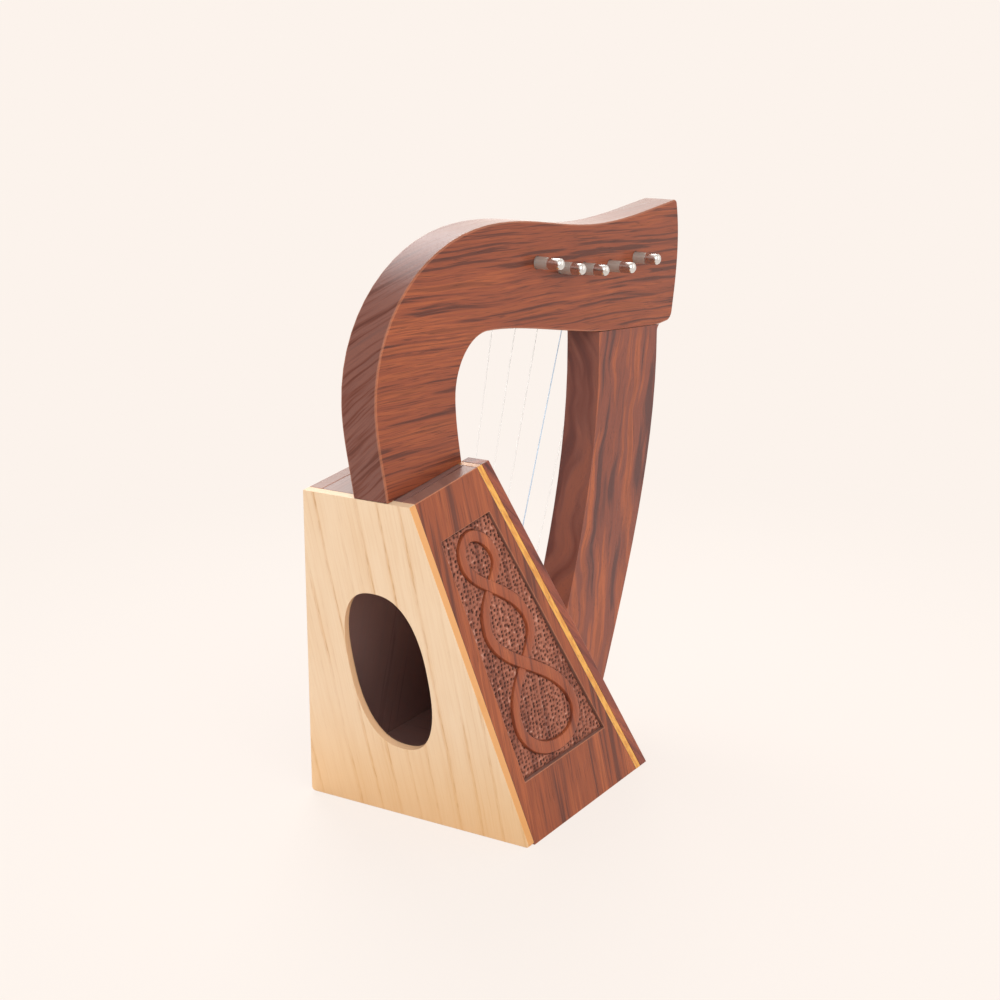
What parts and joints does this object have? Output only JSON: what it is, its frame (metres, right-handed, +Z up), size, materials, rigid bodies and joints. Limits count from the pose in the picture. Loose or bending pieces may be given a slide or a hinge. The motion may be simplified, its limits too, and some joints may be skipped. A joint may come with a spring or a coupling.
{
  "type": "lap harp",
  "caption": "Small wooden lap harp: tapered soundbox with an oval hole in its back and carved sides, a curved neck and pillar, and nylon strings wound on turning pins.",
  "frame": {"origin": "on the floor under the middle of the harp's bounding box", "axes": "+X forwards from the player to the pillar, +Y to the player's left, +Z up"},
  "size_m": [0.3004, 0.136, 0.3005],
  "materials": {
    "dark_wood": "satin oiled rosewood-brown hardwood",
    "pillar_wood": "satin figured brown hardwood",
    "pale_wood": "satin pale ash",
    "soundboard_ply": "satin golden thin board",
    "dowel_wood": "raw beech",
    "nickel_plate": "polished nickel plate",
    "brass": "bright",
    "clear_nylon": "translucent monofilament",
    "blue_nylon": "pale blue monofilament"
  },
  "bodies": {
    "harp_frame": {"neck": "dark_wood", "side_panel_right": "dark_wood", "side_panel_left": "dark_wood", "base_board": "dark_wood", "top_block": "dark_wood", "trim_right": "dark_wood", "trim_left": "dark_wood", "string_rib": "dark_wood", "inner_rib": "dark_wood", "pillar": "pillar_wood", "back_panel": "pale_wood", "soundboard": "soundboard_ply", "neck_dowel_1": "dowel_wood", "neck_dowel_2": "dowel_wood", "pillar_dowel_1": "dowel_wood", "pillar_dowel_2": "dowel_wood", "foot_dowel_1": "dowel_wood", "foot_dowel_2": "dowel_wood", "string_eyelet_1": "brass", "string_1": "clear_nylon", "string_eyelet_2": "brass", "string_2": "clear_nylon", "string_eyelet_3": "brass", "string_3": "clear_nylon", "string_eyelet_4": "brass", "string_4": "blue_nylon", "string_eyelet_5": "brass", "string_5": "clear_nylon"},
    "pin_1": {"tuning_pin_1": "nickel_plate", "string_winding_1": "clear_nylon"},
    "pin_2": {"tuning_pin_2": "nickel_plate", "string_winding_2": "clear_nylon"},
    "pin_3": {"tuning_pin_3": "nickel_plate", "string_winding_3": "clear_nylon"},
    "pin_4": {"tuning_pin_4": "nickel_plate", "string_winding_4": "blue_nylon"},
    "pin_5": {"tuning_pin_5": "nickel_plate", "string_winding_5": "clear_nylon"}
  },
  "joints": [
    {"name": "pin_1_turn", "type": "hinge", "parent": "harp_frame", "child": "pin_1", "pos_m": [-0.00744, -0.009, 0.27581], "axis": [0, 1, 0], "continuous": true},
    {"name": "pin_2_turn", "type": "hinge", "parent": "harp_frame", "child": "pin_2", "pos_m": [0.01636, -0.009, 0.2699], "axis": [0, 1, 0], "continuous": true},
    {"name": "pin_3_turn", "type": "hinge", "parent": "harp_frame", "child": "pin_3", "pos_m": [0.04046, -0.009, 0.26589], "axis": [0, 1, 0], "continuous": true},
    {"name": "pin_4_turn", "type": "hinge", "parent": "harp_frame", "child": "pin_4", "pos_m": [0.06896, -0.009, 0.26327], "axis": [0, 1, 0], "continuous": true},
    {"name": "pin_5_turn", "type": "hinge", "parent": "harp_frame", "child": "pin_5", "pos_m": [0.09796, -0.009, 0.26388], "axis": [0, 1, 0], "continuous": true}
  ]
}
